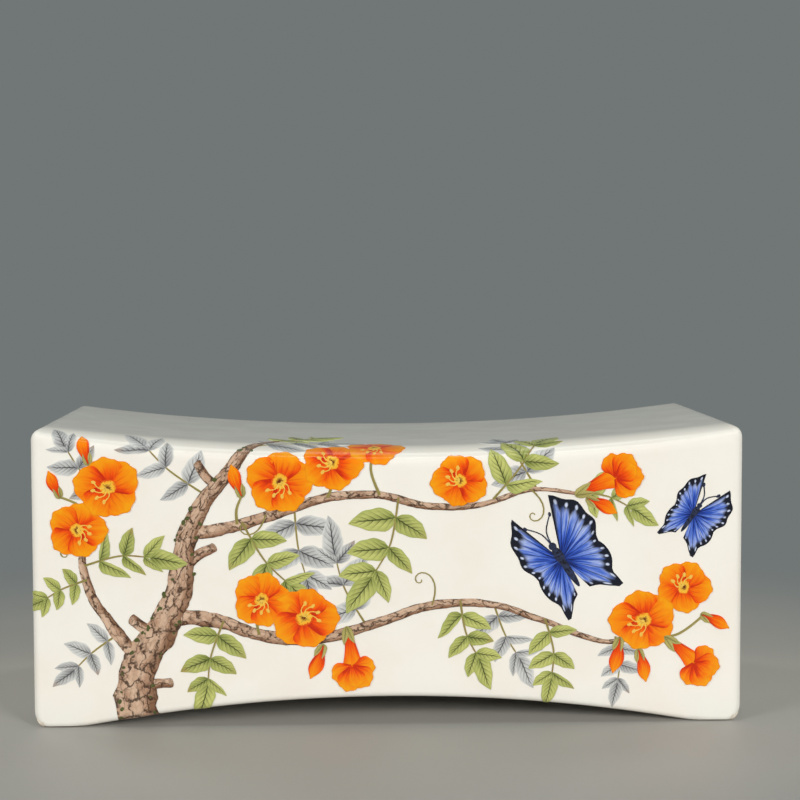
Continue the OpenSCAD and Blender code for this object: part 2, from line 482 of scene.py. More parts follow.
def streaked_paint(deep, pale):
    """Paint for small strokes, streaked from deep to pale."""
    def paint(tree):
        streak = place_group(tree, "brush_streak", Across=3.0, Along=9.0).outputs[0]
        return blend(tree, streak, deep, pale), streak
    return paint


def glaze_material():
    """Clear glaze on white porcelain: faint clouds, greener pools low down, iron specks, a soft skin."""
    material, tree, shader = new_material("white_glaze")
    place = object_place(tree)
    height = add_node(tree, "ShaderNodeSeparateXYZ", {0: place}).outputs[2]
    cloud = noise_at(tree, place, 38.0, 4.0, 0.55)
    tint = blend(tree, ease(tree, cloud, 0.3, 0.7), rgb(0.845, 0.80, 0.725), rgb(0.865, 0.835, 0.77))
    pooled = times(tree, ease(tree, height, POOL_TOP, 0.0), ease(tree, cloud, 0.35, 0.65, 0.1, 0.6))
    tint = blend(tree, pooled, tint, rgb(0.79, 0.81, 0.755))
    cells = add_node(tree, "ShaderNodeTexVoronoi", {"Vector": place, "Scale": 95.0})
    chance = add_node(tree, "ShaderNodeSeparateColor", {0: cells.outputs["Color"]}).outputs[0]
    speck = times(tree, ease(tree, cells.outputs["Distance"], 0.05, 0.02), ease(tree, chance, 0.9, 0.93))
    colour = blend(tree, times(tree, speck, 0.6), tint, rgb(0.36, 0.28, 0.19))
    tree.links.new(colour, shader.inputs["Base Color"])
    ripple = noise_at(tree, place, 55.0, 2.0)
    tree.links.new(ease(tree, ripple, 0.3, 0.7, 0.06, 0.12), shader.inputs["Roughness"])
    relief = total(tree, ripple, times(tree, noise_at(tree, place, 700.0, 2.0), 0.03))
    bump = add_node(tree, "ShaderNodeBump", {"Strength": 0.04, "Distance": 0.5 * MM, "Height": relief})
    tree.links.new(bump.outputs[0], shader.inputs["Normal"])
    return material


def biscuit_material():
    """Bare fired porcelain: matt, grainy, toasted where the glaze stops short of the foot."""
    material, tree, shader = new_material("bare_biscuit")
    place = object_place(tree)
    height = add_node(tree, "ShaderNodeSeparateXYZ", {0: place}).outputs[2]
    grain = noise_at(tree, place, 1400.0, 4.0, 0.65)
    cloud = noise_at(tree, place, 90.0)
    body = blend(tree, ease(tree, grain, 0.3, 0.7), rgb(0.60, 0.53, 0.44), rgb(0.74, 0.68, 0.58))
    toasted = times(tree, ease(tree, height, TOAST_TOP, 0.0), ease(tree, cloud, 0.3, 0.6, 0.25, 0.7))
    tree.links.new(blend(tree, toasted, body, rgb(0.42, 0.25, 0.13)), shader.inputs["Base Color"])
    tree.links.new(ease(tree, cloud, 0.3, 0.7, 0.75, 0.92), shader.inputs["Roughness"])
    bump = add_node(tree, "ShaderNodeBump", {"Strength": 0.4, "Distance": 0.15 * MM, "Height": grain})
    tree.links.new(bump.outputs[0], shader.inputs["Normal"])
    return material


glaze = glaze_material()
biscuit = biscuit_material()
petal_enamel = enamel_material("petal_enamel", petal_paint)
throat_enamel = enamel_material("throat_enamel", throat_paint)
bark_enamel = enamel_material("bark_enamel", bark_paint)
wing_enamel = enamel_material("wing_enamel", wing_paint)
pollen_enamel = enamel_material(
    "pollen_enamel", streaked_paint(deep=rgb(0.70, 0.33, 0.02), pale=rgb(0.90, 0.66, 0.14))
)
black_enamel = enamel_material(
    "black_enamel", streaked_paint(deep=rgb(0.010, 0.010, 0.013), pale=rgb(0.035, 0.045, 0.10))
)
moss_enamel = enamel_material(
    "moss_enamel", streaked_paint(deep=rgb(0.035, 0.040, 0.012), pale=rgb(0.13, 0.15, 0.045))
)
green_enamel = enamel_material(
    "green_leaf_enamel",
    leaf_paint(
        pale=rgb(0.55, 0.57, 0.18), deep=rgb(0.15, 0.19, 0.035),
        line=rgb(0.026, 0.034, 0.009), rim=rgb(0.34, 0.38, 0.11),
    ),
)
grey_enamel = enamel_material(
    "grey_leaf_enamel",
    leaf_paint(
        pale=rgb(0.62, 0.62, 0.61), deep=rgb(0.20, 0.205, 0.21),
        line=rgb(0.016, 0.017, 0.019), rim=rgb(0.72, 0.72, 0.69),
    ),
)
calyx_enamel = enamel_material(
    "calyx_enamel",
    leaf_paint(
        pale=rgb(0.50, 0.44, 0.15), deep=rgb(0.24, 0.22, 0.06),
        line=rgb(0.09, 0.07, 0.02), rim=rgb(0.22, 0.17, 0.05),
    ),
)


# Modelling helpers
def deselect():
    """Leave nothing selected."""
    bpy.ops.object.select_all(action="DESELECT")


def make_active(piece):
    """Select one piece alone."""
    deselect()
    piece.select_set(True)
    bpy.context.view_layer.objects.active = piece


def select_edges(piece, wanted):
    """In edit mode, select the edges that the test accepts."""
    mesh = bmesh.from_edit_mesh(piece.data)
    bpy.ops.mesh.select_all(action="DESELECT")
    for edge in mesh.edges:
        edge.select_set(wanted(edge))
    bmesh.update_edit_mesh(piece.data)


def runs_along(axis):
    """A test for edges that lie along one axis."""
    def wanted(edge):
        run = edge.verts[1].co - edge.verts[0].co
        return abs(run[axis]) > 0.99 * run.length
    return wanted


def apply_modifier(piece, kind, **settings):
    """Add a modifier, set it and apply it."""
    make_active(piece)
    modifier = piece.modifiers.new(kind.lower(), kind)
    for name, value in settings.items():
        setattr(modifier, name, value)
    bpy.ops.object.modifier_apply(modifier=modifier.name)


def hand_over(piece, name, slot):
    """Name a finished piece and let it ride with the pillow; slot is not used."""
    piece.name = name
    piece.data.name = name
    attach(piece, "root")


# The glaze coat: cuts along its length, its depth and its height, and steps round each edge
COAT_CUTS = (39, 17, 15)
EDGE_STEPS = 8
# Bands at the top and the foot that are bent without being stretched
SHIFT_BAND = 20 * MM
# Radius that every rim has before it is opened out
FIRST_ROUND = BASE_EDGE_R + GLAZE
# How soon the front edge's long roll fades out as the outline turns a corner
CORNER_FADE = 1.3
# The drill that opens the vent
DRILL_DEPTH = 20 * MM
DRILL_SIDES = 48


def square_coat():
    """A box round the slabs, cut into a grid fine enough to bend."""
    deselect()
    size = (2 * (HALF_LEN + GLAZE), 2 * (HALF_DEPTH + GLAZE), END_HEIGHT + 2 * GLAZE)
    bpy.ops.mesh.primitive_cube_add(size=1, location=(0, 0, END_HEIGHT / 2), scale=size)
    coat = bpy.context.object
    bpy.ops.object.transform_apply(location=True, rotation=True, scale=True)
    bpy.ops.object.mode_set(mode="EDIT")
    bpy.ops.mesh.select_mode(type="EDGE")
    for axis, cuts in enumerate(COAT_CUTS):
        select_edges(coat, runs_along(axis))
        bpy.ops.mesh.subdivide(number_cuts=cuts)
    bpy.ops.object.mode_set(mode="OBJECT")
    return coat


def round_ends(coat):
    """Round the four edges that cross the ends."""
    far = HALF_LEN + GLAZE - HAIR
    middle = END_HEIGHT / 2
    cross = runs_along(1)
    bpy.ops.object.mode_set(mode="EDIT")
    for upper, radius in ((True, END_EDGE_R), (False, FOOT_EDGE_R)):
        def corner(edge):
            at_end = all(abs(point.co.x) > far for point in edge.verts)
            level = all(abs(point.co.z - middle) > middle for point in edge.verts)
            return at_end and level and cross(edge) and (edge.verts[0].co.z > middle) == upper
        select_edges(coat, corner)
        bpy.ops.mesh.bevel(offset=radius + GLAZE, segments=EDGE_STEPS, affect="EDGES", clamp_overlap=False)
    bpy.ops.object.mode_set(mode="OBJECT")


def round_rims(coat):
    """Round all the edges of the front and the back alike."""
    far = HALF_DEPTH + GLAZE - HAIR

    def rim(edge):
        on_face = all(abs(point.co.y) > far for point in edge.verts)
        return on_face and any(abs(face.normal.y) < 0.5 for face in edge.link_faces)
    bpy.ops.object.mode_set(mode="EDIT")
    select_edges(coat, rim)
    bpy.ops.mesh.bevel(offset=FIRST_ROUND, segments=EDGE_STEPS, affect="EDGES", clamp_overlap=False)
    bpy.ops.object.mode_set(mode="OBJECT")


def rim_inset(x, z):
    """How far a place on the still straight side view lies inside its outline, and the way outwards."""
    upper = z > END_HEIGHT / 2
    radius = GLAZE + (END_EDGE_R if upper else FOOT_EDGE_R)
    from_end = HALF_LEN + GLAZE - abs(x)
    from_level = END_HEIGHT + GLAZE - z if upper else z + GLAZE
    outwards = Vector((math.copysign(1, x), 1 if upper else -1))
    if max(from_end, from_level) < radius:
        way = Vector((radius - from_end, radius - from_level))
        return radius - way.length, way.normalized() * outwards
    if from_end < from_level:
        return from_end, outwards * Vector((1, 0))
    return from_level, outwards * Vector((0, 1))


def rim_roll(x, outwards, front):
    """How far down and how far back the rim rolls where the side view's outline faces outwards."""
    upright = UPRIGHT_EDGE_R + GLAZE
    level = headrest_edge(x) if outwards.y > 0 else BASE_EDGE_R + GLAZE
    share = outwards.x**2
    rise = run = upright * share + level * (1 - share)
    if front and outwards.y > 0:
        run = max(run, (FRONT_ROLL + GLAZE) * (1 - CORNER_FADE * abs(outwards.x)))
    return rise, run


def widen_rims(coat):
    """Open the rounds of the front and the back out to each stretch's own roll."""
    half = HALF_DEPTH + GLAZE
    for point in coat.data.vertices:
        depth = half - abs(point.co.y)
        inset, outwards = rim_inset(point.co.x, point.co.z)
        rise, run = rim_roll(point.co.x, outwards, point.co.y < 0)
        if max(depth, inset) <= 1.01 * FIRST_ROUND:
            point.co.x -= outwards.x * inset * (rise / FIRST_ROUND - 1)
            point.co.z -= outwards.y * inset * (rise / FIRST_ROUND - 1)
            depth *= run / FIRST_ROUND
        elif inset < HAIR:
            depth = run + (depth - FIRST_ROUND) * (half - run) / (half - FIRST_ROUND)
        else:
            continue
        point.co.y = math.copysign(half - depth, point.co.y)


def bend_coat(coat):
    """Dip the top and arch the underside, keeping the rounded edges round."""
    for point in coat.data.vertices:
        x = clamp(point.co.x, END_EDGE_R - HALF_LEN, HALF_LEN - END_EDGE_R)
        share = clamp((point.co.z - SHIFT_BAND) / (END_HEIGHT - 2 * SHIFT_BAND), 0.0, 1.0)
        point.co.z += arch_height(x) * (1 - share) + (saddle_height(x) - END_HEIGHT) * share


def glaze_coat():
    """A thin shell of glaze over the six slabs, open under the feet and at the vent."""
    coat = square_coat()
    round_ends(coat)
    round_rims(coat)
    widen_rims(coat)
    bend_coat(coat)
    bpy.ops.object.mode_set(mode="EDIT")
    bpy.ops.mesh.select_all(action="SELECT")
    bpy.ops.mesh.bisect(plane_co=(0, 0, GLAZE_LINE), plane_no=(0, 0, 1), clear_inner=True)
    bpy.ops.object.mode_set(mode="OBJECT")
    apply_modifier(coat, "SOLIDIFY", thickness=GLAZE, offset=-1, use_even_offset=True)

    deselect()
    bpy.ops.mesh.primitive_cylinder_add(
        vertices=DRILL_SIDES, radius=VENT_R + BARE_RIM, depth=DRILL_DEPTH, location=(0, 0, ARCH_RISE)
    )
    drill = bpy.context.object
    apply_modifier(coat, "BOOLEAN", object=drill, operation="DIFFERENCE", solver="EXACT")
    bpy.data.objects.remove(drill)
    make_active(coat)
    bpy.ops.object.shade_smooth_by_angle(angle=GLAZE_CREASE)
    coat.data.materials.append(glaze)
    hand_over(coat, "glaze_coat", "glazed_porcelain")


# Brush strokes: flat patches in picture millimetres, laid on the glaze
strokes = []


def blank(columns, rows, shape):
    """A flat patch: a grid whose points follow shape(side, along), side -1 to 1 and along 0 to 1."""
    deselect()
    bpy.ops.mesh.primitive_grid_add(x_subdivisions=columns, y_subdivisions=rows, size=2)
    patch = bpy.context.object
    points = patch.data.vertices
    side = patch.data.attributes.new("side", "FLOAT", "POINT")
    side.data.foreach_set("value", [point.co.x for point in points])
    for point in points:
        point.co = shape(point.co.x, (point.co.y + 1) / 2)
    return patch


def lay(patch, enamel, at=(0, 0), turn=0.0, size=(1, 1), level=1, tone=0.5):
    """Copy a flat patch onto the glaze, turned in degrees, and keep it for the motif in hand."""
    copy = bpy.data.objects.new(patch.name, patch.data.copy())
    bpy.context.collection.objects.link(copy)
    spin = Matrix.Rotation(math.radians(turn), 2)
    base = LOWEST_LAYER + (level + 0.9 * tone) * LAYER
    for point in copy.data.vertices:
        flat = spin @ Vector((point.co.x * size[0], point.co.y * size[1]))
        point.co = on_glaze((at[0] + flat.x) * MM, (at[1] + flat.y) * MM, base + point.co.z * MM)
    if size[0] * size[1] < 0:
        copy.data.flip_normals()
    own_shade = copy.data.attributes.new("tone", "FLOAT", "POINT")
    own_shade.data.foreach_set("value", [tone] * len(copy.data.vertices))
    copy.data.materials.append(enamel)
    strokes.append(copy)


def finish_motif(name, slot):
    """Join the strokes in hand into one piece of raised enamel."""
    make_active(strokes[0])
    for stroke in strokes:
        stroke.select_set(True)
    bpy.ops.object.join()
    piece = strokes[0]
    strokes.clear()
    apply_modifier(piece, "SOLIDIFY", thickness=ENAMEL, offset=-1)
    bpy.ops.object.shade_smooth_by_angle(angle=ENAMEL_CREASE)
    hand_over(piece, name, slot)


def along_curve(points, share):
    """Place and direction on a smooth curve through points."""
    spans = len(points) - 1
    step = min(int(share * spans), spans - 1)
    t = share * spans - step
    near = [Vector(points[clamp(step + k, 0, spans)]) for k in (-1, 0, 1, 2)]
    a = 2 * near[1]
    b = near[2] - near[0]
    c = 2 * near[0] - 5 * near[1] + 4 * near[2] - near[3]
    d = 3 * near[1] - 3 * near[2] + near[3] - near[0]
    place = 0.5 * (a + b * t + c * t * t + d * t**3)
    heading = b + 2 * c * t + 3 * d * t * t
    return place, heading.normalized()


# Outlines of the strokes, in units of their own length unless they say millimetres
def taper(start, end, along):
    """Width of a stem on its way from one width to another."""
    return start + (end - start) * along**0.8


def stem_shape(points, start, end, rough):
    """A stem in millimetres along a curve, tapering from one width to another, rough at its sides."""
    def shape(side, along):
        place, heading = along_curve(points, along)
        bumps = noise.noise(Vector((place.x / 9, place.y / 9, 4 * side)))
        nicks = noise.noise(Vector((place.x / 2.5, place.y / 2.5, 9 * side)))
        half = taper(start, end, along) / 2 * (1 + rough * (bumps + 0.5 * nicks))
        out = Vector((heading.y, -heading.x)) * half * side
        return place.x + out.x, place.y + out.y, 0.03 + 0.008 * half * (1 - side * side)
    return shape


def leaf_shape(width, curl, narrow_half=1.0):
    """A pointed leaf, widest below its middle, bent to one side, with one half narrower if seen aslant."""
    def shape(side, along):
        swell = along**0.55 * (1 - along) ** 0.95 / 0.377
        half = max(width / 2 * swell * (1 + 0.05 * math.sin(17 * along + 3 * side)), 0.006)
        if side < 0:
            half *= narrow_half
        return side * half + curl * math.sin(2.2 * along) * along, along, 0.03 * (1 - side * side)
    return shape


def petal_shape(width):
    """A broad lobe, narrow at the throat, with a round ruffled lip."""
    def shape(side, along):
        half = width / 2 * (0.28 + 0.72 * math.sin(min(along / 0.72, 1) * QUARTER)) * (1 - 0.05 * along**3)
        lip = 0.34 * along**2 * side * side
        ruffle = 0.03 * math.sin(9 * side + 1) * along**4
        return side * half, along - lip + ruffle, 0.04 * (1 - side * side) + 0.03 * side
    return shape


def dab_shape(side, along):
    """A round dab of one unit radius."""
    rise = 2 * along - 1
    x = side * math.sqrt(1 - rise * rise / 2)
    y = rise * math.sqrt(1 - side * side / 2)
    return x, y, 0.05 * (1 - x * x) * (1 - y * y)


def wing_shape(first, last, margin):
    """A wing fanned from its root between two angles, out to margin(share)."""
    def shape(side, along):
        share = (side + 1) / 2
        angle = math.radians(first + (last - first) * share)
        out = margin(share) * (0.06 + 0.94 * along)
        return out * math.sin(angle), out * math.cos(angle), 0.04 * math.sin(math.pi * along)
    return shape


def fore_margin(share):
    """Outer edge of a fore wing, longest near its leading edge."""
    return 1 - 0.40 * share**1.4 + 0.025 * math.cos(6 * math.pi * share)


def hind_margin(share):
    """Outer edge of a hind wing, with a short tail."""
    tail = 0.34 * math.exp(-((share - 0.72) / 0.09) ** 2)
    return 0.72 + 0.22 * math.sin(math.pi * share) + tail


def tube_shape(neck, mouth, curl):
    """A trumpet's tube, widening to its mouth."""
    def shape(side, along):
        half = (neck + (mouth - neck) * along**1.8) / 2
        return side * half + curl * along * along, along, 0.05 * (1 - side * side)
    return shape


def bud_shape(width):
    """A closed bud, fattest near its tip."""
    def shape(side, along):
        half = width / 2 * (0.3 + 0.7 * math.sin(math.pi * along**1.5)) * (1 - along**8)
        return side * max(half, 0.01) + 0.12 * along * along, along, 0.05 * (1 - side * side)
    return shape


# Blanks that the painter repeats
left_leaf = blank(6, 14, leaf_shape(0.52, 0.13))
right_leaf = blank(6, 14, leaf_shape(0.52, -0.13))
slant_leaf = blank(6, 14, leaf_shape(0.5, -0.2, 0.4))
lobe = blank(12, 14, petal_shape(1.02))
dab = blank(6, 6, dab_shape)
tube = blank(6, 12, tube_shape(0.14, 0.42, 0.1))
closed_bud = blank(6, 12, bud_shape(0.42))
fore_wing = blank(20, 10, wing_shape(22, 100, fore_margin))
hind_wing = blank(20, 10, wing_shape(92, 168, hind_margin))
BLANKS = (left_leaf, right_leaf, slant_leaf, lobe, dab, tube, closed_bud, fore_wing, hind_wing)
# Unit in which a stem's pattern is measured and spacing of its rows, in millimetres
STEM_UNIT = 20
STEM_STEP = 1.6
LOBES = 5
STAMENS = 4
# Lobes of a blossom seen from the side: turn from the tube and share of the length
SIDE_LOBES = ((75, 0.40), (-75, 0.40), (28, 0.44), (-28, 0.44), (0, 0.36))
# How far behind a flower's foot its calyx starts, as a share of its length
CALYX_BACK = 0.06
# A butterfly's belly, chest and head: place along it, width and length in shares of its reach, and level
BODY_DABS = ((-0.16, 0.055, 0.34, 7), (0.08, 0.075, 0.15, 8), (0.25, 0.06, 0.06, 9))
TENDRIL_STEPS = 16
# Levels of the paint, from the glaze outwards
GREY_LEVEL = 1
HIND_LEVEL = 2
FORE_LEVEL = 4
FEELER_LEVEL = 6
LIMB_LEVEL = 7
TRUNK_LEVEL = 8
STALK_LEVEL = 10
MOSS_LEVEL = 11
GREEN_LEVEL = 11
BUD_LEVEL = 16
SIDE_LEVEL = 17
OPEN_LEVEL = 18


def shade(middle=0.5, spread=0.5):
    """A stroke's own shade, from the seeded generator."""
    return middle + spread * (rng.random() - 0.5)


def point_from(at, heading, distance):
    """A place on the picture some way from another, heading in degrees left of upwards."""
    turn = math.radians(heading)
    return at[0] - math.sin(turn) * distance, at[1] + math.cos(turn) * distance


def heading_of(way):
    """A direction's heading, in degrees left of upwards."""
    return math.degrees(math.atan2(-way[0], way[1]))


def lay_stem(points, start, end, enamel, level, tone=0.5, rough=0.0, columns=4):
    """A stem along a curve in close rows, with its pattern at true scale."""
    length = sum((Vector(b) - Vector(a)).length for a, b in zip(points, points[1:]))
    patch = blank(columns, max(8, int(length / STEM_STEP)), stem_shape(points, start, end, rough))
    for corner in patch.data.uv_layers["UVMap"].data:
        corner.uv = (corner.uv.x * (start + end) / 2 / STEM_UNIT, corner.uv.y * length / STEM_UNIT)
    lay(patch, enamel, level=level, tone=tone)
    bpy.data.objects.remove(patch)


def bowed(start, end, bow):
    """Three points from start to end, pushed aside at the middle by a share of their distance."""
    start, end = Vector(start), Vector(end)
    run = end - start
    return [start, (start + end) / 2 + bow * Vector((-run.y, run.x)), end]


def leaf_spray(at, heading, length, enamel, level, pairs=3):
    """A compound leaf: pairs of leaflets and an end leaflet along a bent stalk."""
    bend = rng.choice((-1, 1)) * rng.uniform(8, 20)
    middle = point_from(at, heading, length * 0.55)
    tip = point_from(middle, heading + bend, length * 0.45)
    stalk = [at, middle, tip]
    lay_stem(stalk, 1.0, 0.5, calyx_enamel, level, 0.7, columns=2)
    for pair in range(pairs):
        place, way = along_curve(stalk, 0.24 + 0.62 * pair / max(1, pairs - 1))
        for side in (-1, 1):
            spread = side * (60 - 8 * pair) + rng.uniform(-12, 12)
            leaf = left_leaf if side < 0 else right_leaf
            if rng.random() < 0.22:
                leaf = slant_leaf
            reach = length * (0.50 - 0.04 * pair) * rng.uniform(0.85, 1.12)
            size = (reach * rng.uniform(0.85, 1.15), reach)
            lay(leaf, enamel, place, heading_of(way) + spread, size, level + 1 + pair, shade())
    reach = length * rng.uniform(0.48, 0.58)
    lay(left_leaf, enamel, tip, heading + bend, (reach, reach), level + 2 + pairs, shade())


def open_blossom(at, width, turn, squash, level):
    """A blossom seen from the front: five lobes round a throat, with four stamens."""
    reach = width / 2
    for number in range(LOBES):
        heading = turn + 360 / LOBES * number + rng.uniform(-5, 5)
        leaning = 1 - (1 - squash) * abs(math.cos(math.radians(heading)))
        lay(lobe, petal_enamel, at, heading, (reach * 1.04, reach * leaning), level + number % 3, shade())
    lay(dab, throat_enamel, at, turn, (reach * 0.26, reach * 0.26 * squash), level + 4, shade())
    for number in range(STAMENS):
        heading = turn + 60 + 32 * number
        tip = point_from(at, heading, reach * 0.42)
        bow = point_from(at, heading + 25, reach * 0.24)
        lay_stem([at, bow, tip], 0.55, 0.4, pollen_enamel, level + 5, 0.8, columns=2)
        lay(dab, pollen_enamel, tip, heading, (0.7, 1.0), level + 6, 0.9)


def side_blossom(at, length, heading, level):
    """A blossom seen from the side: calyx, tube and lobes turned back at its mouth."""
    lay(tube, petal_enamel, at, heading, (length, length * 0.72), level, 0.2)
    mouth = point_from(at, heading - 7, length * 0.68)
    for order, (spread, share) in enumerate(SIDE_LOBES, 1):
        size = (length * share, length * share)
        lay(lobe, petal_enamel, mouth, heading + spread, size, level + 3 * order, shade())
    base = point_from(at, heading, -CALYX_BACK * length)
    size = (length * 0.24, length * 0.34)
    for spread in (-16, 16):
        lay(left_leaf, calyx_enamel, base, heading + spread, size, level + 3, shade())


def hanging_bud(at, length, heading, level):
    """A closed bud in its calyx."""
    lay(closed_bud, petal_enamel, at, heading, (length, length), level, shade(0.35))
    base = point_from(at, heading, -CALYX_BACK * length)
    size = (length * 0.4, length * 0.44)
    for spread in (-18, 14):
        lay(left_leaf, calyx_enamel, base, heading + spread, size, level + 1, shade())


def butterfly(name, at, reach, heading, far_side):
    """A butterfly: four wings, the far pair foreshortened, a body and two feelers."""
    for side, width in ((1, 1.0), (-1, far_side)):
        size = (side * reach * 0.84 * width, reach * 0.84)
        lay(hind_wing, wing_enamel, at, heading, size, HIND_LEVEL, shade())
        lay(fore_wing, wing_enamel, at, heading, (side * reach * width, reach), FORE_LEVEL, shade())
    for along, width, length, level in BODY_DABS:
        place = point_from(at, heading, reach * along)
        lay(dab, black_enamel, place, heading, (reach * width, reach * length), level)
    for spread in (-22, 18):
        bow = point_from(place, heading + spread * 0.5, reach * 0.25)
        tip = point_from(place, heading + spread * 1.3, reach * 0.5)
        lay_stem([place, bow, tip], 0.6, 0.45, black_enamel, FEELER_LEVEL, columns=2)
        lay(dab, black_enamel, tip, heading + spread, (0.6, 1.0), FEELER_LEVEL + 1)
    finish_motif(name, "blue_enamel")


# Layout of the picture, in millimetres: across from the middle, then up the front and over the edge
TRUNK = [
    (-104, -2), (-107, 12), (-104, 28), (-95, 44), (-88, 60),
    (-86, 78), (-78, 95), (-66, 110), (-56, 126), (-48, 142),
]
LOW_LIMB = [
    (-94, 46), (-76, 46), (-55, 39), (-32, 37), (-7, 43),
    (18, 51), (44, 51), (68, 43), (90, 35), (107, 37),
]
HIGH_LIMB = [(-85, 82), (-66, 85), (-46, 91), (-26, 97), (-4, 98), (18, 93), (40, 94), (60, 100), (81, 98)]
LEFT_LIMB = [(-104, 26), (-116, 42), (-125, 56), (-129, 72), (-126, 88), (-118, 101)]
# Widths at the root and at the tip
TRUNK_WIDTH = (20, 2.5)
LIMBS = ((LOW_LIMB, (7, 1.6)), (HIGH_LIMB, (6, 1.5)), (LEFT_LIMB, (6, 1.8)))
# Cut stubs: root, heading, length and width
STUBS = (
    ((-97, 40), 62, 13, 4.5), ((-84, 70), -58, 12, 4), ((-72, 102), 40, 13, 3.5), ((-106, 16), -78, 14, 4),
)
MOSS_DOTS = 44
# Leaf sprays: root, heading and length
GREEN_SPRAYS = (
    ((-62, 87), -150, 34), ((4, 97), 170, 36), ((44, 96), -40, 34), ((80, 99), -100, 24),
    ((-70, 45), 160, 28), ((30, 53), -170, 26), ((66, 45), -165, 26), ((-128, 69), -75, 28),
    ((-127, 63), 110, 20), ((-49, 140), -40, 26),
)
GREY_SPRAYS = (
    ((-40, 94), -175, 32), ((62, 101), 30, 32), ((-10, 43), 30, 32), ((44, 52), -160, 26),
    ((-78, 99), 55, 32), ((-114, 40), 125, 24), ((-58, 122), -60, 34), ((96, 37), -170, 20),
    ((-120, 98), 40, 26),
)
# Open blossoms: centre, width, turn and height as a share of the width
OPEN_BLOSSOMS = (
    ((-118, 102), 30, 10, 0.85), ((-131, 84), 26, 130, 0.9), ((-46, 104), 30, 65, 0.9),
    ((-24, 112), 27, 340, 0.9), ((-6, 122), 26, 55, 0.9), ((-36, 46), 30, 200, 0.85),
    ((-54, 54), 26, 55, 0.9), ((108, 44), 30, 15, 0.85), ((125, 58), 25, 265, 0.9),
    ((30, 104), 26, 310, 0.85),
)
# Side blossoms and buds: root, length and heading
SIDE_BLOSSOMS = (((-18, 41), 24, -165), ((118, 36), 24, -125), ((80, 98), 26, -60))
BUDS = (
    ((98, 36), 15, 175), ((106, 31), 14, -160), ((133, 46), 13, -110), ((-28, 34), 15, 165),
    ((-62, 98), 14, 25), ((-138, 98), 12, 30), ((84, 96), 14, -110), ((-126, 112), 13, 20),
)
# Stalks: start, end and bow
STALKS = (
    ((-46, 91), (-46, 102), 0.1), ((-26, 97), (-24, 110), -0.1), ((-4, 98), (-6, 120), 0.12),
    ((-32, 37), (-36, 44), 0), ((-55, 39), (-54, 52), 0.12), ((107, 37), (125, 56), 0.15),
    ((30, 93), (30, 102), 0), ((107, 37), (134, 46), -0.15), ((-126, 90), (-138, 98), -0.1),
    ((-120, 99), (-126, 112), 0.1), ((-64, 86), (-62, 98), 0.1),
)
# Tendrils: root, heading, length and the way they wind
TENDRILS = (
    ((18, 51), -20, 26, 1), ((-52, 90), 165, 22, -1), ((60, 100), -130, 24, -1), ((-128, 76), 60, 18, 1),
)
# Butterflies: name, place, reach, heading and width of the far wings as a share of the near ones
BUTTERFLIES = (
    ("large_butterfly", (73, 70), 27.5, 34, 0.75),
    ("small_butterfly", (129, 89), 18, -35, 0.78),
)


def stub(at, heading, length, width):
    """A short cut side branch with its end grain."""
    end = point_from(at, heading, length)
    lay_stem(bowed(at, end, 0.08), width * 1.25, width, bark_enamel, LIMB_LEVEL, rng.random(), 0.25, 6)
    lay(dab, bark_enamel, end, heading, (width / 2, width / 4), LIMB_LEVEL + 3, 0.1)


def moss_dot():
    """A dab of moss at one side of the trunk."""
    share = 0.05 + 0.8 * rng.random()
    place, way = along_curve(TRUNK, share)
    half = taper(*TRUNK_WIDTH, share) / 2
    out = half * rng.choice((-1, 1)) * rng.uniform(0.7, 0.98)
    size = rng.uniform(0.5, 1.2)
    at = (place.x + way.y * out, place.y - way.x * out)
    lay(dab, moss_enamel, at, rng.uniform(0, 180), (size, size * 0.75), MOSS_LEVEL, rng.random())


def tendril(at, heading, length, hand):
    """A tendril that winds up towards its tip."""
    points = [at]
    for step in range(1, TENDRIL_STEPS + 1):
        share = step / TENDRIL_STEPS
        heading += hand * 46 * share
        at = point_from(at, heading, length * (1.3 - share) / TENDRIL_STEPS * 1.3)
        points.append(at)
    lay_stem(points, 0.7, 0.4, calyx_enamel, STALK_LEVEL, 0.6, columns=2)


def vine():
    """The wood: a rough trunk with cut stubs and moss, three limbs, and the thin green stalks."""
    for limb, (start, end) in LIMBS:
        lay_stem(limb, start, end, bark_enamel, LIMB_LEVEL, rng.random(), 0.3, 6)
    for at, heading, length, width in STUBS:
        stub(at, heading, length, width)
    lay_stem(TRUNK, *TRUNK_WIDTH, bark_enamel, TRUNK_LEVEL, 0.3, 0.22, 10)
    for _ in range(MOSS_DOTS):
        moss_dot()
    finish_motif("vine_wood", "bark_enamel")
    for start, end, bow in STALKS:
        lay_stem(bowed(start, end, bow), 1.3, 0.9, calyx_enamel, STALK_LEVEL, shade(), columns=2)
    for at, heading, length, hand in TENDRILS:
        tendril(at, heading, length, hand)
    finish_motif("green_stalks", "leaf_enamel")


def foliage():
    """Grey leaves behind and green ones before them."""
    for sprays, enamel, slot, name, level in (
        (GREY_SPRAYS, grey_enamel, "ink_enamel", "grey_leaves", GREY_LEVEL),
        (GREEN_SPRAYS, green_enamel, "leaf_enamel", "green_leaves", GREEN_LEVEL),
    ):
        for at, heading, length in sprays:
            leaf_spray(at, heading, length, enamel, level)
        finish_motif(name, slot)


def blossoms():
    """Open and side blossoms and buds, each a piece."""
    for number, (at, width, turn, squash) in enumerate(OPEN_BLOSSOMS, 1):
        open_blossom(at, width, turn, squash, OPEN_LEVEL)
        finish_motif(f"open_blossom_{number}", "orange_enamel")
    for number, (at, length, heading) in enumerate(SIDE_BLOSSOMS, 1):
        side_blossom(at, length, heading, SIDE_LEVEL)
        finish_motif(f"side_blossom_{number}", "orange_enamel")
    for number, (at, length, heading) in enumerate(BUDS, 1):
        hanging_bud(at, length, heading, BUD_LEVEL)
        finish_motif(f"bud_{number}", "orange_enamel")


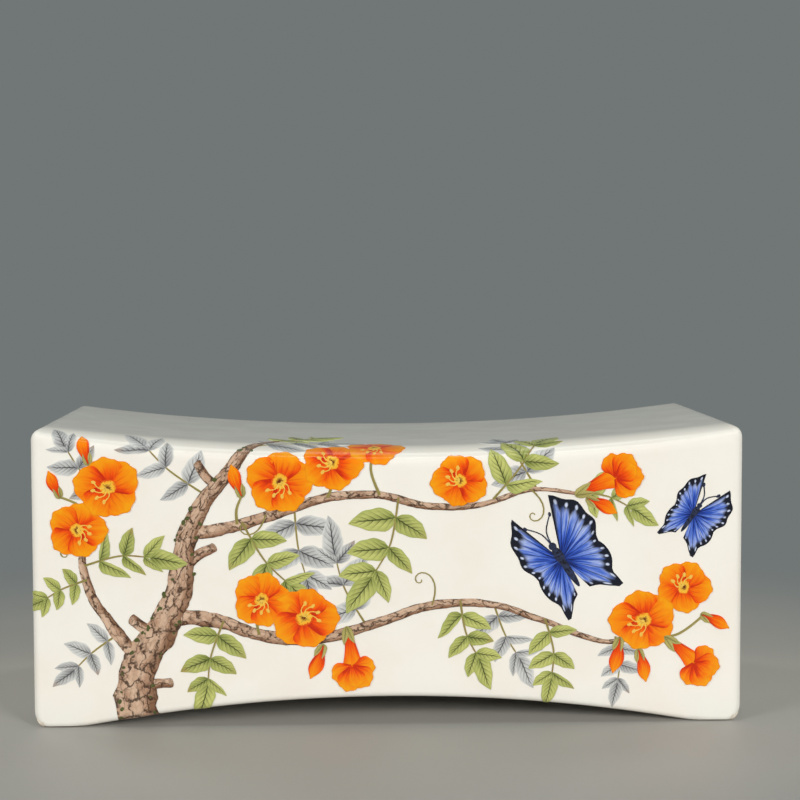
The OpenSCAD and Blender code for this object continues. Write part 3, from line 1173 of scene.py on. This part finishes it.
# Stage: the camera in metres, degrees and millimetres of lens
CAMERA_AT = (-22.3 * MM, -874.2 * MM, 190.8 * MM)
CAMERA_DOWN = 3.76
CAMERA_HEADING = -1.93
CAMERA_ROLL = -0.14
CAMERA_LENS = 86.1
BACKDROP = rgb(0.165, 0.184, 0.181)
FILL = rgb(0.15, 0.16, 0.155)
FLOOR_R = 4
FLOOR_SIDES = 96
# Distances between which the floor fades into the backdrop
FLOOR_NEAR = 0.17
FLOOR_FAR = 0.46
WARM = (1.0, 0.985, 0.96)
COOL = (0.93, 1.0, 0.975)
MIDDLE = (0, 0, END_HEIGHT / 2)
# Lamps: place, aim, width, height, power, tint and whether reflections show them
LAMPS = {
    "key": ((-1.35, -1.3, 0.62), MIDDLE, 0.7, 0.4, 18, WARM, False),
    "fill": ((0.9, -1.6, 0.58), MIDDLE, 0.6, 0.4, 22.4, WARM, False),
    "strip": ((0, -0.10, 0.34), (0, -0.22, 0), 1.4, 0.018, 0.42, COOL, True),
    "overhead": ((0.02, 0.30, 0.80), (0, 0, 0.1), 0.35, 0.2, 0.3, COOL, True),
    "rear_left": ((-1.3, 1.2, 0.5), MIDDLE, 0.6, 0.4, 11.5, WARM, False),
    "rear_right": ((1.3, 1.2, 0.5), MIDDLE, 0.6, 0.4, 11.5, WARM, False),
}


def stage_floor():
    """A pale grey floor that fades into the backdrop away from the pillow."""
    deselect()
    bpy.ops.mesh.primitive_circle_add(
        vertices=FLOOR_SIDES, radius=FLOOR_R, fill_type="NGON", location=(0, 0, 0)
    )
    floor = bpy.context.object
    floor.name = "floor"
    material, tree, shader = new_material("satin_table")
    place = object_place(tree)
    distance = add_node(tree, "ShaderNodeVectorMath", {0: place}, operation="LENGTH").outputs["Value"]
    cloud = noise_at(tree, place, 9.0)
    tone = blend(tree, cloud, rgb(0.39, 0.38, 0.355), rgb(0.43, 0.42, 0.39))
    tree.links.new(tone, shader.inputs["Base Color"])
    shader.inputs["Roughness"].default_value = 0.6
    shader.inputs["Specular IOR Level"].default_value = 0.3
    glow = add_node(tree, "ShaderNodeEmission", {"Color": BACKDROP})
    far = ease(tree, distance, FLOOR_NEAR, FLOOR_FAR)
    fade = add_node(tree, "ShaderNodeMixShader", {0: far, 1: shader.outputs[0], 2: glow.outputs[0]})
    tree.links.new(fade.outputs[0], tree.nodes["Material Output"].inputs["Surface"])
    floor.data.materials.append(material)


def studio_world():
    """Grey backdrop to the camera and in reflections, soft fill for the rest."""
    world = bpy.data.worlds.new("studio")
    bpy.context.scene.world = world
    world.use_nodes = True
    tree = world.node_tree
    path = add_node(tree, "ShaderNodeLightPath")
    rays = [path.outputs[f"Is {kind} Ray"] for kind in ("Camera", "Glossy", "Transmission")]
    colour = blend(tree, greatest(tree, *rays), FILL, BACKDROP)
    tree.links.new(colour, tree.nodes["Background"].inputs["Color"])


def area_lamp(name, at, aim, width, height, power, tint, mirrored):
    """A soft box pointed at a place, kept out of reflections unless it is to be mirrored."""
    lamp = bpy.data.lights.new(name, "AREA")
    lamp.color = tint
    lamp.shape = "RECTANGLE"
    lamp.size = width
    lamp.size_y = height
    lamp.energy = power
    holder = bpy.data.objects.new(name, lamp)
    holder.location = at
    holder.rotation_euler = (Vector(aim) - Vector(at)).to_track_quat("-Z", "Y").to_euler()
    holder.visible_glossy = mirrored
    bpy.context.scene.collection.objects.link(holder)


def camera():
    """The camera at the photograph's place and angle."""
    lens = bpy.data.cameras.new("camera")
    lens.lens = CAMERA_LENS
    lens.sensor_width = 36
    lens.clip_start = 0.01
    holder = bpy.data.objects.new("camera", lens)
    heading = Matrix.Rotation(math.radians(CAMERA_HEADING), 4, "Z")
    tilt = Matrix.Rotation(math.radians(90 - CAMERA_DOWN), 4, "X")
    roll = Matrix.Rotation(math.radians(CAMERA_ROLL), 4, "Z")
    holder.matrix_world = Matrix.Translation(CAMERA_AT) @ heading @ tilt @ roll
    bpy.context.scene.collection.objects.link(holder)
    bpy.context.scene.camera = holder


def stage():
    """Floor, world, lamps and camera."""
    bpy.context.scene.view_settings.view_transform = "Standard"
    stage_floor()
    studio_world()
    for name, settings in LAMPS.items():
        area_lamp(name, *settings)
    camera()


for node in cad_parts.values():
    node.data.materials.clear()
    node.data.materials.append(biscuit)
glaze_coat()
vine()
foliage()
blossoms()
for settings in BUTTERFLIES:
    butterfly(*settings)
for patch in BLANKS:
    bpy.data.objects.remove(patch)
stage()
